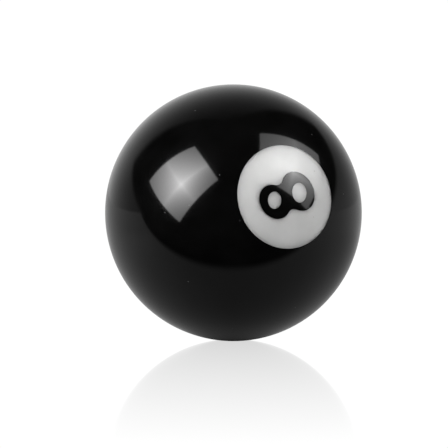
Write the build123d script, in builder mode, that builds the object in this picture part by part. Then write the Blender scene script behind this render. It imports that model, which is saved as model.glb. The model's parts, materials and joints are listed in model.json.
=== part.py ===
from build123d import *
import os
from math import sqrt

# A numbered pool ball, the black eight.
#
# A filled resin core lies inside a black shell that is cast round it. A white number disc is let into the
# shell on each side of the ball, and a black figure 8 is let into each disc. Every piece is bonded face to
# face with its neighbours, and all the outer faces are ground to one sphere.
#
# The origin is the centre of the ball and +Z points up off the table. The ball lies as it came to rest: its
# front number faces -Y and a little upwards, and the figure has rolled past its side. Lengths are in
# millimetres and angles in degrees.

# Ball
ball_diameter = 57.15  # 2 1/4 inches
shell_thickness = 8.5  # black resin over the core

# How the ball lies
number_rise = 11.0  # how far above the horizon the front number faces
figure_turn = 110.5  # how far each figure is turned from upright, anticlockwise

# Number discs
disc_diameter = 22.0
disc_side = 3.0  # straight side of a disc, from the sphere down to its floor
disc_corner = 0.6  # rounding between a disc's side and floor

# Figure 8: widths across it and heights up it, as if it stood upright
figure_depth = 2.5  # from the middle of the disc's face down to the figure's floor
figure_corner = 0.3  # rounding between a figure's side and floor
figure_raise = 0.25  # middle of the figure above the middle of the disc
top_lobe_width = 7.6
top_lobe_height = 6.4
bottom_lobe_width = 8.8
bottom_lobe_height = 7.4
lobe_overlap = 0.9  # how far the lobes run into each other at the waist
lobe_lean = 14.0  # the lobes lean anticlockwise, and the holes lean clockwise
waist_radius = 1.5
top_hole_width = 3.6
top_hole_height = 2.95
bottom_hole_width = 4.25
bottom_hole_height = 3.5
hole_lean = 27.0
hole_shift = 0.35  # top hole right of the middle line, bottom hole left of it

# Discs and figures are cast this much proud of the ball, and ground flush with it afterwards
grinding_allowance = 1.0

ball_radius = ball_diameter / 2
core_radius = ball_radius - shell_thickness
disc_radius = disc_diameter / 2
disc_floor = sqrt(ball_radius**2 - disc_radius**2) - disc_side
figure_floor = ball_radius - figure_depth
figure_height = top_lobe_height + bottom_lobe_height - lobe_overlap
top_lobe_middle = figure_raise + (figure_height - top_lobe_height) / 2
bottom_lobe_middle = figure_raise - (figure_height - bottom_lobe_height) / 2

# Each number has a plane through the ball's centre: its z points out through the middle of the number, and
# its y is the figure's own up. The back number is opposite the front one, turned half round that y.
front = Plane.XZ.rotated((0, -figure_turn, 0)).rotated((-number_rise, 0, 0))
back = Plane(front.origin, x_dir=-front.x_dir, z_dir=-front.z_dir)
numbers = {"front": front, "back": back}


def floor_edges(blank, plane):
    """The edges round the face of a blank that lies nearest the middle of the ball."""
    outwards = Axis(plane.origin, plane.z_dir)
    return blank.faces().sort_by(outwards)[0].edges()


def disc_blank(plane):
    """A number disc before grinding: a round plug with a rounded floor corner."""
    with BuildPart() as blank:
        with BuildSketch(plane.offset(disc_floor)):
            Circle(disc_radius)
        extrude(amount=ball_radius + grinding_allowance - disc_floor)
        fillet(floor_edges(blank, plane), disc_corner)
    return blank.part


def figure_blank(plane):
    """A figure 8 before grinding: two leaning ovals run together, with a leaning hole through each."""
    floor = plane.offset(figure_floor)
    height = figure_depth + grinding_allowance
    with BuildPart() as blank:
        with BuildSketch(floor):
            with Locations((0, top_lobe_middle)):
                Ellipse(top_lobe_width / 2, top_lobe_height / 2, rotation=lobe_lean)
            with Locations((0, bottom_lobe_middle)):
                Ellipse(bottom_lobe_width / 2, bottom_lobe_height / 2, rotation=lobe_lean)
        extrude(amount=height)
        waist_edges = blank.edges().filter_by(Axis(plane.origin, plane.z_dir))
        fillet(waist_edges, waist_radius)
        with BuildSketch(floor):
            with Locations((hole_shift, top_lobe_middle)):
                Ellipse(top_hole_width / 2, top_hole_height / 2, rotation=-hole_lean)
            with Locations((-hole_shift, bottom_lobe_middle)):
                Ellipse(bottom_hole_width / 2, bottom_hole_height / 2, rotation=-hole_lean)
        extrude(amount=height, mode=Mode.SUBTRACT)
        fillet(floor_edges(blank, plane), figure_corner)
    return blank.part


def finish(piece, name):
    """Label a finished piece and write it out."""
    piece.label = name
    export_step(piece, f"parts/{name}.step")
    print(f"{name}: {piece.volume / 1000:.3f} cm3")


os.makedirs("parts", exist_ok=True)

disc_blanks = {side: disc_blank(plane) for side, plane in numbers.items()}
figure_blanks = {side: figure_blank(plane) for side, plane in numbers.items()}

# Core: the filled resin ball at the middle, which brings the whole ball up to weight
with BuildPart() as core:
    Sphere(core_radius)
finish(core.part, "core")

# Shell: the black ball round the core, with a pocket for each number disc
with BuildPart() as outer_shell:
    Sphere(ball_radius)
    Sphere(core_radius, mode=Mode.SUBTRACT)
    for pocket in disc_blanks.values():
        add(pocket, mode=Mode.SUBTRACT)
finish(outer_shell.part, "outer_shell")

for side in numbers:
    # Number disc: white, ground to the sphere, with a groove for its figure
    with BuildPart() as number_disc:
        add(disc_blanks[side])
        Sphere(ball_radius, mode=Mode.INTERSECT)
        add(figure_blanks[side], mode=Mode.SUBTRACT)
    finish(number_disc.part, f"number_disc_{side}")

    # Numeral: the black 8 that fills the groove, with the disc showing through its two holes
    with BuildPart() as numeral:
        add(figure_blanks[side])
        Sphere(ball_radius, mode=Mode.INTERSECT)
    finish(numeral.part, f"numeral_{side}")
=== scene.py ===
# %% [markdown]
# # A numbered pool ball, the black eight
#
# This lesson dresses a pool ball. The ball is six pieces of cast resin: a core, a black shell round it, and
# on each side a white number disc with a black 8 let into it. Everything you see is one polished sphere,
# so the lesson is about three things: seams that are cut exactly, a surface smooth enough to be a mirror,
# and a small studio for that mirror to show.
#
# The pieces' real shapes come from a CAD model, loaded here as a fixed frame. Its meshes are only as fine as
# a workshop needs. A mirror shows every flat facet, so each piece that shows is built again, far finer, on
# the seams that the CAD pieces give.

# %% Load the CAD model as the frame
import json
import math

import bmesh
import bpy
import numpy as np
from mathutils import Matrix, Vector
from mathutils.geometry import delaunay_2d_cdt


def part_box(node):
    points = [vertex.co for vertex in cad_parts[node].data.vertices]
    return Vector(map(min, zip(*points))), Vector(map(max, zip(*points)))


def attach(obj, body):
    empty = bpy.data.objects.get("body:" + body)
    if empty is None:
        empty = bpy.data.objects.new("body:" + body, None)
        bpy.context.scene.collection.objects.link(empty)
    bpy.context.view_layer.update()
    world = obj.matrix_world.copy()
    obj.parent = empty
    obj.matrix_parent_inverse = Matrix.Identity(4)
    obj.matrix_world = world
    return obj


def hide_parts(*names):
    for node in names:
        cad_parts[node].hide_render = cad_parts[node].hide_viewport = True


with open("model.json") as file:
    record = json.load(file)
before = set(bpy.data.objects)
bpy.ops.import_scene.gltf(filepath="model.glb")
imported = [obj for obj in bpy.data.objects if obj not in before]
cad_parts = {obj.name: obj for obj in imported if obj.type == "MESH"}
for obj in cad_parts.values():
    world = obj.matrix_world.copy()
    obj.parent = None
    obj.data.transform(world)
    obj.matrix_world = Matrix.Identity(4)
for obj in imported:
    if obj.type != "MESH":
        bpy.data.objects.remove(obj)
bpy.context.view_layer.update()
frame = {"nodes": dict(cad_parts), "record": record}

MM = 0.001

# %% [markdown]
# ## The ball's own sizes
#
# The record says where the ball touches the table: straight under its centre, one radius down. That one
# number sets the sphere that every outer face lies on. The core's radius is half the width of its box.

# %% Read the radii
contact = Vector(frame["record"]["mounts"][0]["pos_m"])
BALL_RADIUS = contact.length
core_low, core_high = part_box("core")
CORE_RADIUS = (core_high.x - core_low.x) / 2
print(f"ball radius {BALL_RADIUS / MM:.3f} mm, core radius {CORE_RADIUS / MM:.3f} mm")

# %% [markdown]
# ## Finding the seams
#
# A seam is where the polished sphere stops and a pocket's wall goes down into the ball. On a CAD mesh it is
# easy to find: a face of the sphere has all its corners exactly one radius from the centre, and a wall's
# face doesn't. So the seams are the edges between a face of one sort and a face of the other. Drawing the
# figure by hand would be another way, but then the looks could drift from the CAD model.

# %% Chain the seam edges of a CAD piece into closed loops
ON_SPHERE = 0.003 * MM  # how far from the sphere a corner may lie and still count as on it
SAME_POINT = 0.0005 * MM


def is_polished(points):
    """True if all these points lie on the ball's sphere."""
    return all(abs(p.length - BALL_RADIUS) < ON_SPHERE for p in points)


def seam_loops(node):
    """The seams of a CAD piece: a list of closed loops, each an array of points in order, longest first."""
    mesh = bmesh.new()
    mesh.from_mesh(frame["nodes"][node].data)
    bmesh.ops.remove_doubles(mesh, verts=mesh.verts, dist=SAME_POINT)
    polished = {f: is_polished([v.co for v in f.verts]) for f in mesh.faces}
    after = {}
    for face in (f for f in mesh.faces if polished[f]):
        for corner in face.loops:
            if not all(polished[f] for f in corner.edge.link_faces):
                after[corner.vert] = corner.link_loop_next.vert
    loops = []
    while after:
        start, vert = next(iter(after.items()))
        loop = [start.co.copy()]
        del after[start]
        while vert is not start:
            loop.append(vert.co.copy())
            vert = after.pop(vert)
        loops.append(np.array(loop))
    mesh.free()
    return sorted(loops, key=lambda points: -np.ptp(points, axis=0).max())


for node in ("number_disc_front", "numeral_front"):
    print(node, "has seams of", [len(loop) for loop in seam_loops(node)], "points")

# %% [markdown]
# ## A plane for each number
#
# The walls of the pockets run straight in towards the middle of the ball, along the number's own axis. So
# each number is drawn in a flat plane through the ball's centre: two sideways directions, and one that
# points out through the middle of the disc. A flat point is put on the ball by raising it to the sphere.
# The disc's round seam gives the axis: the seam lies in a plane, and the axis is square to that plane.

# %% Measure the two numbers


class NumberPlane:
    """One number: its axis, two directions across it, the disc's radius, and the figure's flat seams."""

    def __init__(self, side):
        rim, *_ = seam_loops(f"number_disc_{side}")
        middle = rim.mean(axis=0)
        flattest = np.linalg.svd(rim - middle)[2][2]
        self.out = flattest * np.sign(flattest @ middle)
        self.right = np.cross([0, 0, 1], self.out) * (1 if side == "front" else -1)
        self.right /= np.linalg.norm(self.right)
        self.up = np.cross(self.out, self.right)
        self.disc_radius = np.linalg.norm(self.flat(rim), axis=1).mean()
        self.disc_floor = self.lowest(f"number_disc_{side}")
        self.figure_floor = self.lowest(f"numeral_{side}")
        self.figure = [self.flat(loop) for loop in seam_loops(f"numeral_{side}")]

    def flat(self, points):
        return np.column_stack([points @ self.right, points @ self.up])

    def lowest(self, node):
        """How far out from the ball's centre a piece's floor lies."""
        return min(np.array(v.co) @ self.out for v in frame["nodes"][node].data.vertices)

    def place(self, flat, height):
        """Flat points put at one height over the ball's centre, or at a height each."""
        flat = np.asarray(flat)
        across = np.outer(flat[:, 0], self.right) + np.outer(flat[:, 1], self.up)
        return across + np.outer(np.broadcast_to(height, len(flat)), self.out)

    def on_ball(self, flat):
        """Flat points raised to the ball's sphere."""
        return self.place(flat, np.sqrt(BALL_RADIUS**2 - (np.asarray(flat) ** 2).sum(axis=1)))


numbers = {side: NumberPlane(side) for side in ("front", "back")}
for side, number in numbers.items():
    rise = math.degrees(math.asin(number.out[2]))
    print(f"{side}: disc {2 * number.disc_radius / MM:.2f} mm across, facing {rise:.1f} degrees up")

# %% [markdown]
# ## Even seams
#
# CAD spaces the points of a curve by how sharply it bends, so they bunch up in the waist of the 8. The new
# mesh wants them evenly spaced. Each loop is walked by its length and a point is dropped at every step.
# Loops round the outside run anticlockwise and holes run clockwise, so the resin is always on the left.

# %% Space the points of a loop evenly
FIGURE_STEP = 0.12 * MM  # along the figure's seams
RIM_POINTS = 288  # round the disc


def turning(flat):
    """The signed area of a flat loop: positive if it runs anticlockwise."""
    x, y = flat[:, 0], flat[:, 1]
    return 0.5 * (x @ np.roll(y, -1) - y @ np.roll(x, -1))


def even(flat, step):
    """The same closed loop with its points one step apart."""
    closed = np.vstack([flat, flat[:1]])
    walked = np.concatenate([[0], np.cumsum(np.linalg.norm(np.diff(closed, axis=0), axis=1))])
    count = round(walked[-1] / step)
    stops = np.linspace(0, walked[-1], count, endpoint=False)
    return np.column_stack([np.interp(stops, walked, closed[:, i]) for i in (0, 1)])


def circle(radius, count):
    """A flat anticlockwise circle."""
    angles = np.linspace(0, 2 * math.pi, count, endpoint=False)
    return radius * np.column_stack([np.cos(angles), np.sin(angles)])


for number in numbers.values():
    loops = [even(loop, FIGURE_STEP) for loop in number.figure]
    outline, *holes = [loop if turning(loop) > 0 else loop[::-1] for loop in loops]
    number.outline = outline
    number.holes = [hole[::-1] for hole in holes]
    number.rim = circle(number.disc_radius, RIM_POINTS)
print("outline", len(outline), "points, holes", [len(hole) for hole in holes], "points")

# %% [markdown]
# ## Filling a face between seams
#
# A disc's face has an 8-shaped hole in it, and the 8 has two holes of its own. Such a face can't be a tidy
# grid, so it is filled with small triangles of nearly one size: the seams' points, plus a honeycomb of points
# between them, joined by a Delaunay triangulation. Raised to the sphere, the triangles are too small to see.

# %% Spread points evenly inside a seam
FACE_STEP = 0.4 * MM  # between honeycomb points
ROW_STEP = math.sqrt(3) / 2  # honeycomb rows lie this share of a step apart
CLOSEST = 0.55  # a honeycomb point stays this share of a step from every seam


def inside(points, loops):
    """Which flat points lie inside an odd number of loops."""
    odd = np.zeros(len(points), bool)
    x, y = points[:, :1], points[:, 1:]
    for loop in loops:
        a, b = loop, np.roll(loop, -1, axis=0)
        spans = (a[:, 1] > y) != (b[:, 1] > y)
        rise = np.where(a[:, 1] == b[:, 1], 1, b[:, 1] - a[:, 1])
        crossing = a[:, 0] + (y - a[:, 1]) * (b[:, 0] - a[:, 0]) / rise
        odd ^= (spans & (x < crossing)).sum(axis=1) % 2 == 1
    return odd


def honeycomb(loops):
    """Evenly spread points inside the loops, clear of them."""
    seam = np.vstack(loops)
    low, high = seam.min(axis=0), seam.max(axis=0)
    row = np.arange(low[0], high[0], FACE_STEP)
    heights = np.arange(low[1], high[1], FACE_STEP * ROW_STEP)
    shifts = [FACE_STEP / 2 * (i % 2) for i in range(len(heights))]
    grid = np.array([(x + shift, y) for y, shift in zip(heights, shifts) for x in row])
    grid = grid[inside(grid, loops)]
    gap = np.array([np.linalg.norm(seam - point, axis=1).min() for point in grid])
    return grid[gap > CLOSEST * FACE_STEP]


spread = honeycomb([numbers["front"].outline, *numbers["front"].holes])
print(len(spread), "points spread over the front figure")

# %% Fill a flat region with triangles
SAME_FLAT_POINT = 1e-6  # mm


def fill(loops):
    """Triangles that fill the region between flat loops: (points, triangles)."""
    points = np.vstack([*loops, honeycomb(loops)])
    edges, first = [], 0
    for loop in loops:
        ring = np.arange(first, first + len(loop))
        edges += list(zip(ring.tolist(), np.roll(ring, -1).tolist()))
        first += len(loop)
    found = delaunay_2d_cdt([Vector(p) for p in points / MM], edges, [], 0, SAME_FLAT_POINT)
    flat = np.array(found[0]) * MM
    triangles = np.array(found[2])
    ends = np.cumsum([0] + [len(loop) for loop in loops])
    placed = [flat[a:b] for a, b in zip(ends, ends[1:])]
    return flat, triangles[inside(flat[triangles].mean(axis=1), placed)]


_, sample = fill([numbers["front"].outline, *numbers["front"].holes])
print("the front figure's face takes", len(sample), "triangles")

# %% [markdown]
# ## Cups
#
# Under its polished face, a disc or a figure is a cup: walls straight down from the seam, a small rounding,
# and a flat floor. The piece above and the pocket below share the cup, one seen from outside and one from
# inside, so both are built from the same function and meet face to face.

# %% Build the walls and the floor of a cup
CORNER_STEPS = 5
FIGURE_CORNER = 0.3 * MM
DISC_CORNER = 0.6 * MM


def strip(upper, lower):
    """A band of quads between two rings with the same number of points."""
    count = len(upper)
    ring = np.arange(count)
    ahead = np.roll(ring, -1)
    return np.vstack([upper, lower]), np.column_stack([ring, ring + count, ahead + count, ahead])


def inward(flat):
    """The direction into the resin at each point of a flat loop, which is on its left."""
    along = np.roll(flat, -1, axis=0) - np.roll(flat, 1, axis=0)
    along /= np.linalg.norm(along, axis=1)[:, None]
    return np.column_stack([-along[:, 1], along[:, 0]])


def cup(number, loops, floor, corner):
    """Walls, rounded corner and floor under the given flat seams, as patches that face out of the resin."""
    patches, floor_loops = [], []
    for flat in loops:
        ring = number.on_ball(flat)
        for step in range(CORNER_STEPS + 1):
            turn = math.pi / 2 * step / CORNER_STEPS
            inset = flat + inward(flat) * corner * (1 - math.cos(turn))
            below = number.place(inset, floor + corner * (1 - math.sin(turn)))
            patches.append(strip(ring, below))
            ring = below
        floor_loops.append(inset)
    flat, triangles = fill(floor_loops)
    patches.append((number.place(flat, floor), triangles[:, ::-1]))
    return patches


sample = cup(numbers["front"], [numbers["front"].rim], numbers["front"].disc_floor, DISC_CORNER)
print("the front disc's cup has", len(sample), "patches, the last one its floor")

# %% [markdown]
# ## From patches to a piece
#
# A patch is points and faces. Patches that meet share their points' places, so a piece is made by putting all
# its patches in one mesh and merging the points that coincide. If the seams are right, nothing stays open.
#
# The polished faces then get the sphere's own normals, straight out from the ball's centre. Even fine
# triangles are flat, and a mirror would show them, but with true normals every reflection runs on smoothly.

# %% Join patches into a closed piece
def flipped(patches):
    """The same patches seen from the other side."""
    return [(points, faces[:, ::-1]) for points, faces in patches]


def polished_face(number, loops):
    """The part of the ball's surface between the given flat seams."""
    flat, triangles = fill(loops)
    return [(number.on_ball(flat), triangles)]


def corner_normals(data):
    """The normal at each corner of each face: straight out on polished faces, the face's own elsewhere."""
    normals = []
    for face in data.polygons:
        corners = [data.vertices[i].co for i in face.vertices]
        normals += [c.normalized() for c in corners] if is_polished(corners) else [face.normal] * len(corners)
    return normals


def make_piece(name, patches):
    """Join patches into one closed mesh, and give its polished faces the sphere's exact normals."""
    mesh = bmesh.new()
    for points, faces in patches:
        verts = [mesh.verts.new(point) for point in points]
        for face in faces:
            mesh.faces.new([verts[i] for i in face])
    bmesh.ops.remove_doubles(mesh, verts=mesh.verts, dist=SAME_POINT)
    open_edges = sum(not edge.is_manifold for edge in mesh.edges)
    data = bpy.data.meshes.new(name)
    mesh.to_mesh(data)
    mesh.free()
    data.shade_smooth()
    data.normals_split_custom_set(corner_normals(data))
    piece = bpy.data.objects.new(name, data)
    bpy.context.scene.collection.objects.link(piece)
    print(f"{name}: {len(data.polygons)} faces, {open_edges} open edges")
    return piece


# %% [markdown]
# ## The numerals and the number discs
#
# The 8 is its polished face over a cup. The disc is its own polished face, which has two small islands inside
# the figure's loops, over the figure's cup turned inside out, over the disc's cup.

# %% Build the numerals and the discs
pieces = {}

for side, number in numbers.items():
    figure = [number.outline, *number.holes]
    figure_cup = cup(number, figure, number.figure_floor, FIGURE_CORNER)
    number.disc_cup = cup(number, [number.rim], number.disc_floor, DISC_CORNER)
    numeral = polished_face(number, figure) + figure_cup
    pieces[f"numeral_{side}"] = make_piece(f"numeral_{side}_polished", numeral)
    disc = polished_face(number, [number.rim, *figure]) + flipped(figure_cup) + number.disc_cup
    pieces[f"number_disc_{side}"] = make_piece(f"number_disc_{side}_polished", disc)

# %% [markdown]
# ## The shell
#
# The two discs face opposite ways on one axis, so what is left of the sphere between them is a band, and a
# band needs no poles. It is built as rings round that axis, from the front disc's rim to the back one's. The
# discs' cups, turned inside out, are its pockets, and a sphere turned inside out is the hollow for the core.

# %% Build the polished band and the pockets
BAND_RINGS = 150


def ring_on_sphere(number, radius, angle):
    """A ring round a number's axis, at an angle from it."""
    flat = circle(radius * math.sin(angle), RIM_POINTS)
    return number.place(flat, radius * math.cos(angle))


front = numbers["front"]
rim_angle = math.asin(front.disc_radius / BALL_RADIUS)
band_angles = np.linspace(rim_angle, math.pi - rim_angle, BAND_RINGS + 1)
band = [ring_on_sphere(front, BALL_RADIUS, angle) for angle in band_angles]
shell = [strip(upper, lower) for upper, lower in zip(band, band[1:])]
for number in numbers.values():
    shell += flipped(number.disc_cup)
print("the band runs from", round(math.degrees(rim_angle), 1), "degrees off the axis to the same at the back")

# %% Build the hollow for the core and close the shell
CAVITY_RINGS = 48

cavity_angles = np.linspace(0, math.pi, CAVITY_RINGS + 1)[1:-1]
cavity = [ring_on_sphere(front, CORE_RADIUS, angle) for angle in cavity_angles]
cavity_patches = [strip(upper, lower) for upper, lower in zip(cavity, cavity[1:])]
ring = np.arange(RIM_POINTS)
fan = np.column_stack([ring, np.roll(ring, -1), np.full(RIM_POINTS, RIM_POINTS)])
for end, pole in ((cavity[0], 1), (cavity[-1], -1)):
    points = np.vstack([end, pole * CORE_RADIUS * front.out])
    cavity_patches.append((points, fan[:, ::pole]))
pieces["outer_shell"] = make_piece("outer_shell_polished", shell + flipped(cavity_patches))

# %% [markdown]
# ## Handing the pieces over
#
# Each new piece rides on the ball's one body and takes the place of the CAD piece it was built from. The core
# stays as CAD made it: a plain sphere that nothing shows.

# %% Hand the pieces over to the frame
for node, piece in pieces.items():
    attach(piece, "root")
    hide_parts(node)
print(len(pieces), "pieces replace their CAD meshes")

# %% [markdown]
# ## What polished resin looks like
#
# A pool ball is cast phenolic resin, ground and polished until it is a mirror. Two things happen at its face.
# The polished skin reflects the room sharply, about 4 percent of the light straight on and far more at the
# edges. What goes in meets the coloured resin below. The shader's coat is that skin, and its base is the
# resin, with a little weak gloss for the haze that play and handling leave.
#
# Nothing real is one flat colour. Each resin gets soft clouds a few millimetres wide, where the casting mixed
# unevenly, and a skin of fine rubbing marks that roughens the base in patches.

# %% [markdown]
# ### A bench for node trees
#
# A material is a tree of nodes, and so is the light of the room. Building one by hand takes many lines that
# all say the same: add a node, set it, link it. The next three cells put that into a few short methods. The
# first adds nodes and feeds their sockets, the second does sums, and the third makes the patterns that give
# a surface its grain.

# %% A bench to build node trees on
class Bench:
    """A node tree under construction, and short ways to add to it."""

    def __init__(self, tree):
        self.tree = tree

    def add(self, kind, **settings):
        """A new node. A setting named for one of its sockets feeds it, and any other is an option."""
        node = self.tree.nodes.new(kind)
        for name, value in settings.items():
            socket = node.inputs.get(name.title())
            if socket is None:
                setattr(node, name, value)
            else:
                self.feed(socket, value)
        return node

    def feed(self, socket, value):
        """Link a socket to another node's output, or set it to a plain value."""
        if isinstance(value, bpy.types.NodeSocket):
            self.tree.links.new(value, socket)
        else:
            socket.default_value = value


# %% Sums on the bench
NUMBER = 1  # the second output of vector arithmetic


class Sums(Bench):
    """A bench with a calculator. Every value may be a number or another node's output."""

    def math(self, operation, first, second=0.0):
        """One step of arithmetic."""
        node = self.add("ShaderNodeMath", operation=operation)
        self.feed(node.inputs[0], first)
        self.feed(node.inputs[1], second)
        return node.outputs[0]

    def plus(self, first, *others):
        """All these values added up."""
        for other in others:
            first = self.math("ADD", first, other)
        return first

    def times(self, first, *others):
        """All these values multiplied."""
        for other in others:
            first = self.math("MULTIPLY", first, other)
        return first

    def vector(self, operation, first, second, result=0):
        """One step of vector arithmetic. Result 1 holds the answer when that is a number."""
        node = self.add("ShaderNodeVectorMath", operation=operation)
        self.feed(node.inputs[0], first)
        self.feed(node.inputs[1], second)
        return node.outputs[result]

    def along(self, first, heading):
        """How far a vector goes along a heading."""
        return self.vector("DOT_PRODUCT", first, heading, NUMBER)

    def distance(self, first, second):
        """How far two points are apart."""
        return self.vector("DISTANCE", first, second, NUMBER)

    def eased(self, value, start, end, low, high, curve="SMOOTHSTEP"):
        """A step from low to high as value goes from start to end."""
        node = self.add("ShaderNodeMapRange", interpolation_type=curve)
        names = ("Value", "From Min", "From Max", "To Min", "To Max")
        for name, number in zip(names, (value, start, end, low, high)):
            self.feed(node.inputs[name], number)
        return node.outputs[0]


# %% A material on the bench, and its patterns
class Finish(Sums):
    """A new material on the bench. Its shader and its object coordinates are ready."""

    def __init__(self, name):
        self.material = bpy.data.materials.new(name)
        self.material.use_nodes = True
        super().__init__(self.material.node_tree)
        self.shader = self.tree.nodes["Principled BSDF"]
        self.where = self.add("ShaderNodeTexCoord").outputs["Object"]

    def look(self, **settings):
        """Set the shader's own sockets to plain values, each named in lower case with _ for a space."""
        for name, value in settings.items():
            wanted = name.replace("_", " ")
            socket = next(s for s in self.shader.inputs if s.name.lower() == wanted)
            socket.default_value = value

    def noise(self, size, detail=3, stretch=(1, 1, 1)):
        """Noise whose blotches are about this size, in metres, and stretched along the axes."""
        scaled = self.add("ShaderNodeVectorMath", operation="MULTIPLY")
        self.feed(scaled.inputs[0], self.where)
        scaled.inputs[1].default_value = [1 / (size * s) for s in stretch]
        node = self.add("ShaderNodeTexNoise", vector=scaled.outputs[0], scale=1, detail=detail)
        return node.outputs["Fac"]

    def ramp(self, factor, *stops):
        """A colour ramp through (position, grey or colour) stops."""
        node = self.add("ShaderNodeValToRGB", fac=factor)
        elements = node.color_ramp.elements
        while len(elements) < len(stops):
            elements.new(0.5)
        for element, (position, colour) in zip(elements, stops):
            element.position = position
            element.color = (*colour, 1) if isinstance(colour, tuple) else (colour, colour, colour, 1)
        return node.outputs["Color"]


# %% [markdown]
# ## Black and white resin
#
# One function makes both, because they are the same stuff with another pigment. The specks are dust and tiny
# chips that catch the light on a dark ball. They come from Voronoi cells, which fill space with scattered
# middle points: a dot shows only where the surface happens to pass very near one, so there are few.

# %% A function for polished resin
COAT_ROUGHNESS = 0.07
RESIN_IOR = 1.5
CLOUD_SIZE = 6 * MM
CLOUD_RANGE = (0.35, 0.65)  # of the noise, over which dull turns to clear
RUB_SIZE = 2.5 * MM
RUB_STRETCH = (1, 0.08, 1)
RUB_RANGE = (0.3, 0.7)  # of the noise, over which the resin goes from sleek to rubbed
RUB_DEPTH = 0.02 * MM
RUB_STRENGTH = 0.15
SPECK_CELL = 4 * MM
SPECK_RADIUS = 0.16 * MM
MIX_CLOUDS, MIX_SPECKS, MIX_RESULT = 6, 7, 2  # the colour sockets of a mix node


def polished_resin(name, dull, clear, speck, haze, rubbed):
    """Cast and polished resin: clouds from dull to clear, specks of another colour, haze under the coat."""
    finish = Finish(name)
    clouds = finish.ramp(finish.noise(CLOUD_SIZE, detail=5), *zip(CLOUD_RANGE, (dull, clear)))

    cells = finish.add("ShaderNodeTexVoronoi", vector=finish.where, scale=1 / SPECK_CELL)
    near = finish.math("LESS_THAN", cells.outputs["Distance"], SPECK_RADIUS / SPECK_CELL)
    specks = finish.add("ShaderNodeMix", data_type="RGBA")
    finish.feed(specks.inputs["Factor"], near)
    finish.feed(specks.inputs[MIX_CLOUDS], clouds)
    finish.feed(specks.inputs[MIX_SPECKS], (*speck, 1))
    finish.feed(finish.shader.inputs["Base Color"], specks.outputs[MIX_RESULT])

    rubbing = finish.noise(RUB_SIZE, detail=6, stretch=RUB_STRETCH)
    finish.feed(finish.shader.inputs["Roughness"], finish.ramp(rubbing, *zip(RUB_RANGE, rubbed)))
    bump = finish.add("ShaderNodeBump", height=rubbing, strength=RUB_STRENGTH, distance=RUB_DEPTH)
    finish.feed(finish.shader.inputs["Normal"], bump.outputs[0])

    finish.look(ior=RESIN_IOR, specular_ior_level=haze)
    finish.look(coat_weight=1, coat_roughness=COAT_ROUGHNESS, coat_ior=RESIN_IOR)
    print("finish:", name)
    return finish


# %% [markdown]
# The black is as deep as resin gets: it gives back about a five-hundredth of the light. The white is not
# snow white either. Light also wanders about a millimetre through it before it comes out, so the white looks
# softer along its seams, where some of that light is lost in the black. The shader calls this subsurface.

# %% Mix the three resins
BLACK_DULL = (0.0012, 0.0012, 0.0012)
BLACK_CLEAR = (0.0024, 0.0024, 0.0024)
BLACK_HAZE = 0.02
BLACK_RUBBED = (0.18, 0.26)
DUST = (0.05, 0.05, 0.05)

WHITE_DULL = (0.55, 0.55, 0.545)
WHITE_CLEAR = (0.60, 0.60, 0.595)
WHITE_HAZE = 0.1
WHITE_RUBBED = (0.26, 0.40)
WHITE_SOFTNESS = 6 * MM
SCUFF = (0.45, 0.44, 0.42)

shell_black = polished_resin("shell_black_resin", BLACK_DULL, BLACK_CLEAR, DUST, BLACK_HAZE, BLACK_RUBBED)
disc_white = polished_resin("disc_white_resin", WHITE_DULL, WHITE_CLEAR, SCUFF, WHITE_HAZE, WHITE_RUBBED)
numeral_black = polished_resin("numeral_black_resin", BLACK_DULL, BLACK_CLEAR, DUST, BLACK_HAZE, BLACK_RUBBED)
disc_white.look(subsurface_weight=1, subsurface_radius=(1, 1, 1), subsurface_scale=WHITE_SOFTNESS)

# %% [markdown]
# ## The core
#
# The core is never seen, but the piece is there, and it should hold up if a ball is shown cut in half. It is
# cheaper resin, filled with mineral grains to bring the ball to its weight: dull, speckled, and rough.

# %% Make the core's filled resin
GRAIN_SIZE = 0.9 * MM
GRAIN_DARK = (0.10, 0.09, 0.08)
GRAIN_MIDDLE = (0.24, 0.22, 0.19)
GRAIN_LIGHT = (0.5, 0.47, 0.42)
GRAIN_BUMP = 0.1 * MM
GRAIN_STRENGTH = 0.4
ROUGH_PATCH = 2 * MM
ROUGH_STOPS = ((0.3, 0.55), (0.7, 0.8))

filled = Finish("core_filled_resin")
grain = filled.add("ShaderNodeTexVoronoi", vector=filled.where, scale=1 / GRAIN_SIZE)
grain_shade = filled.add("ShaderNodeSeparateColor", color=grain.outputs["Color"]).outputs[0]
grain_colour = filled.ramp(grain_shade, (0.0, GRAIN_DARK), (0.6, GRAIN_MIDDLE), (1.0, GRAIN_LIGHT))
filled.feed(filled.shader.inputs["Base Color"], grain_colour)
rough = filled.ramp(filled.noise(ROUGH_PATCH, detail=4), *ROUGH_STOPS)
filled.feed(filled.shader.inputs["Roughness"], rough)
depth = grain.outputs["Distance"]
bump = filled.add("ShaderNodeBump", height=depth, strength=GRAIN_STRENGTH, distance=GRAIN_BUMP)
filled.feed(filled.shader.inputs["Normal"], bump.outputs[0])
print("finish:", filled.material.name)

# %% [markdown]
# Now every piece gets its finish. The new pieces take theirs as a first material. The core's mesh belongs to
# the CAD model and has its slot already, so there the material is swapped.

# %% Put the finishes on the pieces
pieces["outer_shell"].data.materials.append(shell_black.material)
for side in numbers:
    pieces[f"number_disc_{side}"].data.materials.append(disc_white.material)
    pieces[f"numeral_{side}"].data.materials.append(numeral_black.material)
for slot in frame["nodes"]["core"].material_slots:
    slot.material = filled.material
for node, piece in pieces.items():
    print(node, "is", piece.data.materials[0].name)

# %% [markdown]
# ## The camera
#
# A ball looks the same from everywhere, so the number tells where the camera stands: to the left of the
# number's face and a little above the ball's middle. It is 15 radii away with a long lens, and it is turned
# so that the ball sits slightly right of and above the middle of the view.

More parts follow.
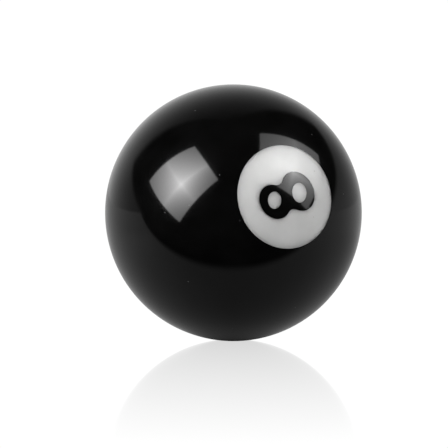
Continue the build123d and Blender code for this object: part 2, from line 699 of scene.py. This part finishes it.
# %% Place the camera
CAMERA_AZIMUTH = math.radians(-24.76)
CAMERA_ELEVATION = math.radians(4)
CAMERA_DISTANCE = 15 * BALL_RADIUS
CAMERA_YAW = math.radians(-24.479)
CAMERA_PITCH = math.radians(-4.334)
LENS = 154.45  # mm, as the next one
SENSOR_WIDTH = 36


def direction(azimuth, elevation):
    """The way to a point seen from the ball: azimuth turns from the front, elevation rises from the table."""
    across = math.cos(elevation)
    return Vector((math.sin(azimuth) * across, -math.cos(azimuth) * across, math.sin(elevation)))


camera = bpy.data.objects.new("camera", bpy.data.cameras.new("camera"))
camera.location = direction(CAMERA_AZIMUTH, CAMERA_ELEVATION) * CAMERA_DISTANCE
camera.rotation_euler = (math.pi / 2 + CAMERA_PITCH, 0, CAMERA_YAW)
camera.data.lens = LENS
camera.data.sensor_width = SENSOR_WIDTH
bpy.context.scene.collection.objects.link(camera)
bpy.context.scene.camera = camera
bpy.context.scene.view_settings.view_transform = "Standard"
print("camera at, mm:", [round(c / MM, 1) for c in camera.location])

# %% [markdown]
# ## A studio for a mirror
#
# A polished black ball has almost no colour of its own. Nearly all that is seen of it is the room, so the
# studio is where its looks are made. There are two soft boxes, high on the left and high on the right, and
# between them the dark of the room on the camera's side. The bright room behind the ball shows only as the
# pale line round its edge, where the resin reflects most.
#
# A soft box's cloth glows most in front of its lamp, and the glow drops off along and across the frame. Each
# box is one glowing square, and its brightness is worked out from its own two directions.

# %% Glowing sheets, each shown only to some rays
def glow(name):
    """A material that only gives light, as a Finish and its emission node."""
    finish = Finish(name)
    finish.tree.nodes.remove(finish.shader)
    emission = finish.add("ShaderNodeEmission")
    finish.feed(finish.tree.nodes["Material Output"].inputs["Surface"], emission.outputs[0])
    return finish, emission


def sheet(name, corners, material):
    """A flat four-sided piece of the studio."""
    data = bpy.data.meshes.new(name)
    data.from_pydata(corners, [], [(0, 1, 2, 3)])
    data.materials.append(material)
    item = bpy.data.objects.new(name, data)
    bpy.context.scene.collection.objects.link(item)
    return item


def shown_to(item, *kinds):
    """Let only these kinds of ray see a piece of the studio."""
    for kind in ("camera", "diffuse", "glossy", "transmission", "shadow"):
        setattr(item, f"visible_{kind}", kind in kinds)
    print(item.name, "is seen by", *kinds, "rays")


# %% [markdown]
# A soft box hangs some way from the ball, in a direction given by two angles. From there it is rolled, like a
# picture hung askew, and tilted, so that it aims beside the ball. A mirror ball bends the outline of what it
# shows, so the four edges of the reflection tell how the box was turned.

# %% The frame of a soft box
UNIT_SQUARE = [(-1, -1, 0), (1, -1, 0), (1, 1, 0), (-1, 1, 0)]


def soft_box(name, way, distance, size, roll, tilt, cloth):
    """A soft box that way from the ball, turned by roll, and aimed beside the ball by tilt (across, up)."""
    out = direction(*[math.radians(angle) for angle in way])
    right = Vector((0, 0, 1)).cross(out).normalized()
    up = out.cross(right)
    facing = (tilt[0] * right + tilt[1] * up - out).normalized()
    level = (right - facing * right.dot(facing)).normalized()
    rise = level.cross(facing)
    turn = math.radians(roll)
    across = level * math.cos(turn) + rise * math.sin(turn)
    along = rise * math.cos(turn) - level * math.sin(turn)
    box = sheet(name, UNIT_SQUARE, cloth)
    columns = Matrix((across * size[0] / 2, along * size[1] / 2, facing)).transposed()
    box.matrix_world = Matrix.Translation(out * distance) @ columns.to_4x4()
    shown_to(box, "diffuse", "glossy")


# %% The cloth of a soft box
CREASE = 0.05  # how far a crease's glow spreads, as a share of half the cloth


def falloff(finish, place, middle, before, after):
    """How fast a glow fades on each side of its middle, as one factor."""
    offset = finish.math("SUBTRACT", place, middle)
    low = finish.times(finish.math("MINIMUM", offset, 0), 1 / before)
    high = finish.times(finish.math("MAXIMUM", offset, 0), -1 / after)
    return finish.math("EXPONENT", finish.plus(low, high))


def box_cloth(name, dim, bright, crease, across, along):
    """Glowing cloth. Across and along give the lamp's place and how far its glow reaches on each side."""
    finish, emission = glow(name)
    place = finish.add("ShaderNodeSeparateXYZ", vector=finish.where)
    sides = list(zip(place.outputs, (across, along)))
    wide = [falloff(finish, side, middle, *reach) for side, (middle, *reach) in sides]
    fine = [falloff(finish, side, middle, CREASE, CREASE) for side, (middle, *_) in sides]
    creases = finish.times(finish.plus(*fine), crease)
    lamp = finish.times(finish.times(*wide), finish.plus(creases, bright))
    finish.feed(emission.inputs["Strength"], finish.plus(lamp, dim))
    return finish.material


# %% [markdown]
# The left box is the stronger one, and its hot spot is off its middle, because the lamp inside is. The silver
# lining is folded into a pyramid, so two bright creases cross at the hot spot.

# %% Hang the left soft box
left_cloth = box_cloth(
    "left_box_cloth", dim=1.2, bright=14.0, crease=1.3, across=(0.237, 1.1, 0.56), along=(-0.172, 0.75, 1.06)
)
soft_box(
    "left_soft_box", way=(-77.26, 31.42), distance=0.699, size=(0.600, 0.621),
    roll=-35.45, tilt=(-0.074, 0.356), cloth=left_cloth,
)

# %% Hang the right soft box
right_cloth = box_cloth(
    "right_box_cloth", dim=1.2, bright=7.0, crease=1.3, across=(0.17, 0.6, 0.45), along=(-0.3, 0.4, 0.65)
)
soft_box(
    "right_soft_box", way=(40.86, 41.15), distance=0.624, size=(0.600, 0.569),
    roll=-45.13, tilt=(0.020, 0.258), cloth=right_cloth,
)

# %% [markdown]
# ## The room
#
# The rest of the room is the world's background, found from the direction in which a ray leaves. A white wall
# is brightest behind the ball and falls off evenly from there, and the ceiling catches a little of its light.
# The two ends of the wall glow low down, more on the right. A dark canopy hangs over the half of the room
# where the camera stands. Its edge slants up from the horizon on both sides and leaves a gap at the back, and
# this is what draws the dark shape in the middle of the ball.

# %% Find the directions in the room
WALL_MIDDLE = math.radians(168)

world = bpy.data.worlds.new("studio_room")
world.use_nodes = True
bpy.context.scene.world = world
world.cycles_visibility.camera = False
room = Sums(world.node_tree)
way = room.add("ShaderNodeTexCoord").outputs["Generated"]

to_the_right = Vector((math.cos(CAMERA_AZIMUTH), math.sin(CAMERA_AZIMUTH), 0))
facing_wall = room.math("MAXIMUM", room.along(way, direction(WALL_MIDDLE, 0)), 0)
height = room.math("MAXIMUM", room.along(way, (0, 0, 1)), 0)
rightness = room.along(way, to_the_right)
print("the wall's middle is", round(math.degrees(WALL_MIDDLE)), "degrees round from the front")

# %% Light the wall, the ceiling and the ends
WALL_LIGHT = 0.62
WALL_FALLOFF = 3.0
CEILING_LIGHT = 0.15
LEFT_GLOW = 0.13
RIGHT_GLOW = 0.29
ENDS_FADE = (0.05, 0.6)  # heights over which the glow of the wall's ends dies away
FOOT_SHADE = 0.9  # the wall is this much dimmer at its foot
FOOT_HEIGHT = 0.3

wall = room.times(room.math("POWER", facing_wall, WALL_FALLOFF), WALL_LIGHT)
ceiling = room.times(facing_wall, height, CEILING_LIGHT)
right_end = room.times(room.math("MAXIMUM", rightness, 0), RIGHT_GLOW)
left_end = room.times(room.math("MINIMUM", rightness, 0), -LEFT_GLOW)
low_down = room.eased(height, *ENDS_FADE, 1, 0, "LINEAR")
ends = room.times(room.plus(right_end, left_end), low_down)
dimmer_low = room.eased(height, 0, FOOT_HEIGHT, FOOT_SHADE, 1)
lit = room.times(room.plus(wall, ceiling, ends), dimmer_low)
print("the wall glows at", WALL_LIGHT, "and its ends at", LEFT_GLOW, "and", RIGHT_GLOW)

# %% Hang the canopy
CANOPY_BACK = math.radians(157)  # the way it slants up towards
CANOPY_SLANT = 1.39  # how much a step up counts against a step back
CANOPY_EDGE = 0.07  # half the softness of its edge
GAP_MIDDLE = math.radians(167)
GAP_EDGE = (0.62, 0.76)  # cosines of the angles from the gap's middle: canopy whole, canopy gone
CANOPY_DARK = 0.005
JUST_OVER_ONE = 1.0001  # keeps the root above zero straight overhead

behind_ball = room.along(way, direction(CANOPY_BACK, 0))
under = room.math("SUBTRACT", behind_ball, room.times(height, CANOPY_SLANT))
below = room.eased(under, -CANOPY_EDGE, CANOPY_EDGE, 0, 1)
level = room.math("SQRT", room.math("SUBTRACT", JUST_OVER_ONE, room.times(height, height)))
toward_gap = room.math("DIVIDE", room.along(way, direction(GAP_MIDDLE, 0)), level)
gap = room.eased(toward_gap, *GAP_EDGE, 0, 1)
open_part = room.math("MAXIMUM", below, gap)

room_light = room.tree.nodes["Background"]
room.feed(room_light.inputs["Strength"], room.plus(room.times(lit, open_part), CANOPY_DARK))
room_light.inputs["Color"].default_value = (1, 1, 1, 1)
print("the canopy glows at", CANOPY_DARK)

# %% [markdown]
# ## The table top, as the ball sees it
#
# The ball reflects the table it stands on. A glowing card stands in for it, and its glow is painted light:
# the lit table's grey, with a painted shadow darker under the ball, and darker towards the camera, where the
# table ends. That card is for the ball's reflections and for the light on its underside, so the camera
# doesn't see it.

# %% Shade the card that the ball reflects
TABLE_EDGE = 49 * MM  # from the ball's middle towards the camera
EDGE_SOFTNESS = 8 * MM
EDGE_SHADE = 0.1
# painted light: how bright the lit table looks, given as the card's glow
TABLE_PAINTED_LIGHT = 0.27
BACK_GLOW = 0.17
BACK_HEADING = (-0.17, 0.985, 0)
BACK_NARROWNESS = 1.5
SIDE_GLOW = 0.03
FRONT_SHADE = -0.11

# the card's glow is painted light and painted shadow, standing in for the lit table
card, card_light = glow("table_painted_light")
spot = card.add("ShaderNodeSeparateXYZ", vector=card.where)
reach = card.distance(card.where, (0, 0, 0))


def share_toward(heading):
    """How far a place on the card lies toward a heading, from 0 at right angles to 1."""
    return card.math("MAXIMUM", card.math("DIVIDE", card.along(card.where, heading), reach), 0)


back_glow = card.times(card.math("POWER", share_toward(BACK_HEADING), BACK_NARROWNESS), BACK_GLOW)
right_glow = card.times(share_toward((1, 0, 0)), SIDE_GLOW)
left_glow = card.times(share_toward((-1, 0, 0)), SIDE_GLOW)
front_shade = card.times(share_toward((0, -1, 0)), FRONT_SHADE)
open_table = card.plus(back_glow, front_shade, right_glow, left_glow, TABLE_PAINTED_LIGHT)
edge_fade = card.eased(spot.outputs[1], -TABLE_EDGE, EDGE_SOFTNESS - TABLE_EDGE, EDGE_SHADE, 1)
print("the open table glows at", TABLE_PAINTED_LIGHT)

# %% Add the ball's shadow to the card
POOL_LIGHT = 0.05  # a little of the left soft box's light
POOL_MIDDLE = (-90 * MM, 0, 0)
POOL_RADIUS = 90 * MM
SHADOW_MIDDLE = (30 * MM, 60 * MM, 0)
SHADOW_RADII = (20 * MM, 160 * MM)
SHADOW_SHADE = 0.77
CONTACT_RADII = (1.5 * MM, 14 * MM)

pool = card.eased(card.distance(card.where, POOL_MIDDLE), 0, POOL_RADIUS, POOL_LIGHT, 0)
ball_shadow = card.eased(card.distance(card.where, SHADOW_MIDDLE), *SHADOW_RADII, SHADOW_SHADE, 1)
contact_shadow = card.eased(reach, *CONTACT_RADII, 0, 1)
card_shade = card.times(card.plus(open_table, pool), ball_shadow, contact_shadow, edge_fade)
card.feed(card_light.inputs["Strength"], card_shade)
print("the ball's shadow reaches", round(SHADOW_RADII[1] / MM), "mm")

# %% Lay the card on the table
TABLE_FAR = 12.0  # metres, so far that the ball sees no edge
JUST_UNDER = 0.2 * MM

table_corners = [
    (-TABLE_FAR, -TABLE_EDGE, 0), (TABLE_FAR, -TABLE_EDGE, 0),
    (TABLE_FAR, TABLE_FAR, 0), (-TABLE_FAR, TABLE_FAR, 0),
]
table_card = sheet("table_card", table_corners, card.material)
table_card.location = (0, 0, -BALL_RADIUS - JUST_UNDER)
table_card.rotation_euler = (0, 0, CAMERA_AZIMUTH)
shown_to(table_card, "diffuse", "glossy")

# %% [markdown]
# A white card lies on the table's camera side as well, to lift the shade under the number. It is kept out of
# the reflections, behind a flag, so it lights only what is dull.

# %% Lay the fill card
FILL_LIGHT = 1.2
FILL_LEFT = 0.02
FILL_RIGHT = 0.8
FILL_FRONT = 0.6

fill_glow, fill_light = glow("fill_card_white")
fill_light.inputs["Strength"].default_value = FILL_LIGHT
fill_corners = [
    (FILL_LEFT, -FILL_FRONT, 0), (FILL_RIGHT, -FILL_FRONT, 0),
    (FILL_RIGHT, -TABLE_EDGE, 0), (FILL_LEFT, -TABLE_EDGE, 0),
]
fill_card = sheet("fill_card", fill_corners, fill_glow.material)
fill_card.location = table_card.location
fill_card.rotation_euler = table_card.rotation_euler
shown_to(fill_card, "diffuse")

# %% [markdown]
# ## The floor and the backdrop
#
# What the camera sees is simpler: white all round, and a faint mirror image of the ball that fades as the
# floor comes nearer. The floor mixes an even white glow with a weak mirror. A bowl over it, far away, closes
# the white.

# %% Make the floor's white and its mirror
MIRROR_SHARE = 0.62
FADE_END = 133 * MM  # from the ball's middle
ROOM_BEHIND = 0.57  # the room's shade that the mirror shows, which the white glow gives way to
PURE_WHITE = 1.03

surface, surface_light = glow("white_floor")
away = surface.distance(surface.where, (0, 0, 0))
share = surface.eased(away, 0, FADE_END, MIRROR_SHARE, 0, "LINEAR")
white_left = surface.math("SUBTRACT", PURE_WHITE, surface.times(share, ROOM_BEHIND))
surface.feed(surface_light.inputs["Strength"], white_left)
mirror = surface.add("ShaderNodeBsdfGlossy", roughness=0)
dimmed = surface.add("ShaderNodeCombineColor")
for socket in dimmed.inputs:
    surface.feed(socket, share)
surface.feed(mirror.inputs["Color"], dimmed.outputs[0])
total = surface.add("ShaderNodeAddShader")
surface.feed(total.inputs[0], surface_light.outputs[0])
surface.feed(total.inputs[1], mirror.outputs[0])
surface.feed(surface.tree.nodes["Material Output"].inputs["Surface"], total.outputs[0])
print("the floor's mirror fades out", round(FADE_END / MM), "mm from the ball's middle")

# %% Lay the floor and close the white with a bowl
BOWL_RADIUS = 2.0
BOWL_SEGMENTS = 48

floor_corners = [(x * BOWL_RADIUS, y * BOWL_RADIUS, 0) for x, y, _ in UNIT_SQUARE]
floor = sheet("floor", floor_corners, surface.material)
floor.location.z = -BALL_RADIUS
shown_to(floor, "camera")

backdrop, backdrop_light = glow("white_backdrop")
backdrop_light.inputs["Strength"].default_value = PURE_WHITE
bowl_mesh = bmesh.new()
bmesh.ops.create_uvsphere(
    bowl_mesh, u_segments=BOWL_SEGMENTS, v_segments=BOWL_SEGMENTS // 2, radius=BOWL_RADIUS
)
bowl_data = bpy.data.meshes.new("bowl")
bowl_mesh.to_mesh(bowl_data)
bowl_mesh.free()
bowl_data.materials.append(backdrop.material)
bowl = bpy.data.objects.new("bowl", bowl_data)
bpy.context.scene.collection.objects.link(bowl)
shown_to(bowl, "camera")
